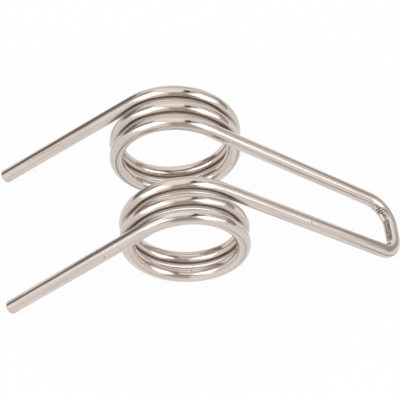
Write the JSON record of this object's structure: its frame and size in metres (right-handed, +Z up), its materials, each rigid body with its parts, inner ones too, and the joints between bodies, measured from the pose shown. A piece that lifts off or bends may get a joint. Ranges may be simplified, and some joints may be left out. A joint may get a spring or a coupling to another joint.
{
  "type": "double torsion spring",
  "caption": "Double torsion spring bent from one bright round steel wire: coaxial open-wound coils joined by a U-shaped bridge, with a straight free leg at each outer end.",
  "frame": {"origin": "on the axis of the coils, midway between them", "axes": "+X from the free legs to the bridge of the U, +Y along the axis of the coils from the front coil to the back coil, +Z up with the spring standing on its free ends and its bridge"},
  "size_m": [0.0586, 0.0252, 0.0219],
  "materials": {
    "spring_wire": "bright drawn and polished round wire, with fine lengthwise draw lines"
  },
  "bodies": {
    "root": {"double_torsion_spring": "spring_wire"}
  },
  "joints": []
}
